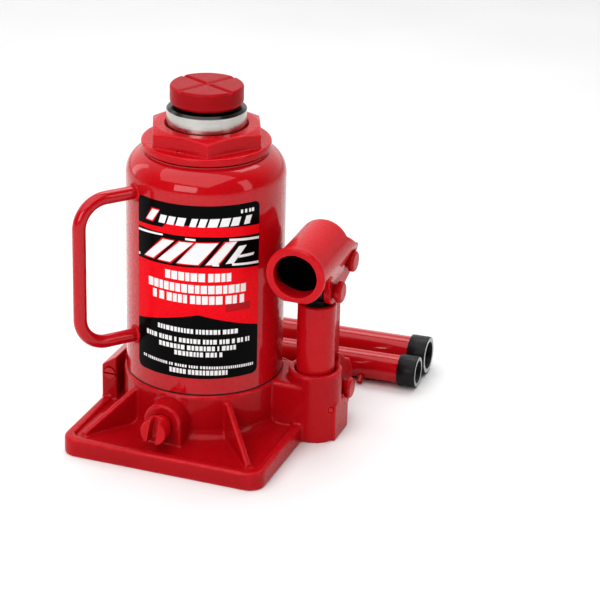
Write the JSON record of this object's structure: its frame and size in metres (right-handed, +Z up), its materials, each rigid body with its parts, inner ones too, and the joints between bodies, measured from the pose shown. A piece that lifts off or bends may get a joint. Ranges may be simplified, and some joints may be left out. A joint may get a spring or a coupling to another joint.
{
  "type": "hydraulic bottle jack",
  "caption": "Hydraulic bottle jack with a cast base, oil tank, steel ram with extension screw and saddle, hand pump with lever socket, carry handle and a split lever.",
  "frame": {"origin": "where the ram axis meets the floor under the base", "axes": "+Z up along the ram; -Y is the front with the release valve; +X is the pump side"},
  "size_m": [0.1589, 0.173, 0.1796],
  "materials": {
    "red_paint": "gloss",
    "bare_steel": "machined",
    "ball_steel": "polished",
    "black_rubber": "matte",
    "soft_copper": "satin",
    "brass_mesh": "satin",
    "black_plastic": "satin",
    "label_film": "gloss"
  },
  "bodies": {
    "jack_body": {"base_casting": "red_paint", "passage_plug_ball": "red_paint", "reservoir_tank": "red_paint", "tank_bottom_gasket": "black_rubber", "tank_top_gasket": "black_rubber", "filler_plug": "black_rubber", "tank_label": "label_film", "carry_handle": "red_paint", "hydraulic_cylinder": "bare_steel", "cylinder_gasket": "soft_copper", "top_nut": "red_paint", "ram_wiper": "black_rubber", "pump_barrel": "red_paint", "barrel_washer": "soft_copper", "barrel_gland_wiper": "black_rubber", "link_base_pin": "red_paint", "base_pin_clip": "bare_steel", "suction_filter": "brass_mesh", "delivery_retainer": "bare_steel", "delivery_spring": "bare_steel", "relief_plug": "red_paint", "relief_spring": "bare_steel", "relief_ball": "ball_steel"},
    "ram": {"ram": "bare_steel", "piston_cup_seal": "black_rubber", "piston_support_washer": "bare_steel", "piston_nut": "bare_steel"},
    "screw_feed": {"screw_stop_ring": "bare_steel"},
    "screw_and_saddle": {"extension_screw": "bare_steel", "saddle": "red_paint"},
    "plunger": {"pump_plunger": "bare_steel", "plunger_o_ring": "black_rubber"},
    "socket": {"handle_socket": "red_paint", "plunger_pin": "red_paint", "link_top_pin": "red_paint", "socket_pin_clips": "bare_steel"},
    "link": {"pump_link": "red_paint"},
    "release_feed": {"release_o_ring": "black_rubber"},
    "release_screw": {"release_screw": "red_paint"},
    "release_ball": {"release_ball": "ball_steel"},
    "suction_ball": {"suction_ball": "ball_steel"},
    "delivery_ball": {"delivery_ball": "ball_steel"},
    "slim_lever": {"slim_lever_tube": "red_paint", "slim_lever_ferrule": "black_plastic", "lever_peg": "red_paint"},
    "wide_lever": {"wide_lever_tube": "red_paint", "wide_lever_ferrule": "black_plastic"}
  },
  "joints": [
    {"name": "ram_lift", "type": "slide", "parent": "jack_body", "child": "ram", "axis": [0, 0, 1], "range_m": [0, 0.0899]},
    {"name": "screw_rise", "type": "slide", "parent": "ram", "child": "screw_feed", "axis": [0, 0, 1], "range_m": [0, 0.045]},
    {"name": "saddle_turn", "type": "hinge", "parent": "screw_feed", "child": "screw_and_saddle", "pos_m": [0, 0, 0.1794], "axis": [0, 0, 1], "range_deg": [0, 5400]},
    {"name": "plunger_stroke", "type": "slide", "parent": "jack_body", "child": "plunger", "axis": [0, 0, 1], "range_m": [0, 0.01628]},
    {"name": "socket_swing", "type": "hinge", "parent": "plunger", "child": "socket", "pos_m": [0.058, 0.005, 0.079], "axis": [-1, 0, 0], "range_deg": [0, 45]},
    {"name": "link_rock", "type": "hinge", "parent": "jack_body", "child": "link", "pos_m": [0.058, 0.0238, 0.0185], "axis": [-1, 0, 0], "range_deg": [0, 2]},
    {"name": "release_out", "type": "slide", "parent": "jack_body", "child": "release_feed", "axis": [0, -1, 0], "range_m": [0, 0.0015]},
    {"name": "release_turn", "type": "hinge", "parent": "release_feed", "child": "release_screw", "pos_m": [-0.0016, -0.052, 0.0188], "axis": [0, -1, 0], "range_deg": [0, 360]},
    {"name": "release_ball_open", "type": "slide", "parent": "jack_body", "child": "release_ball", "axis": [0, -1, 0], "range_m": [0, 0.0013]},
    {"name": "suction_ball_lift", "type": "slide", "parent": "jack_body", "child": "suction_ball", "axis": [0, 0, 1], "range_m": [0, 0.0015]},
    {"name": "delivery_ball_lift", "type": "slide", "parent": "jack_body", "child": "delivery_ball", "axis": [0, 0, 1], "range_m": [0, 0.0012], "deforming": ["delivery_spring"]},
    {"name": "slim_lever_lift", "type": "slide", "parent": "jack_body", "child": "slim_lever", "axis": [0, 0, 1], "range_m": [0, 0.12]},
    {"name": "wide_lever_lift", "type": "slide", "parent": "jack_body", "child": "wide_lever", "axis": [0, 0, 1], "range_m": [0, 0.12]}
  ],
  "couplings": [
    {"joint": "screw_rise", "follows": "saddle_turn", "m_per_rad": 0.00047746},
    {"joint": "plunger_stroke", "follows": "socket_swing", "m_per_rad": 0.020467},
    {"joint": "link_rock", "follows": "socket_swing", "ratio": 0.041843},
    {"joint": "release_out", "follows": "release_turn", "m_per_rad": 0.00023873},
    {"joint": "release_ball_open", "follows": "release_turn", "m_per_rad": 0.00019099}
  ]
}
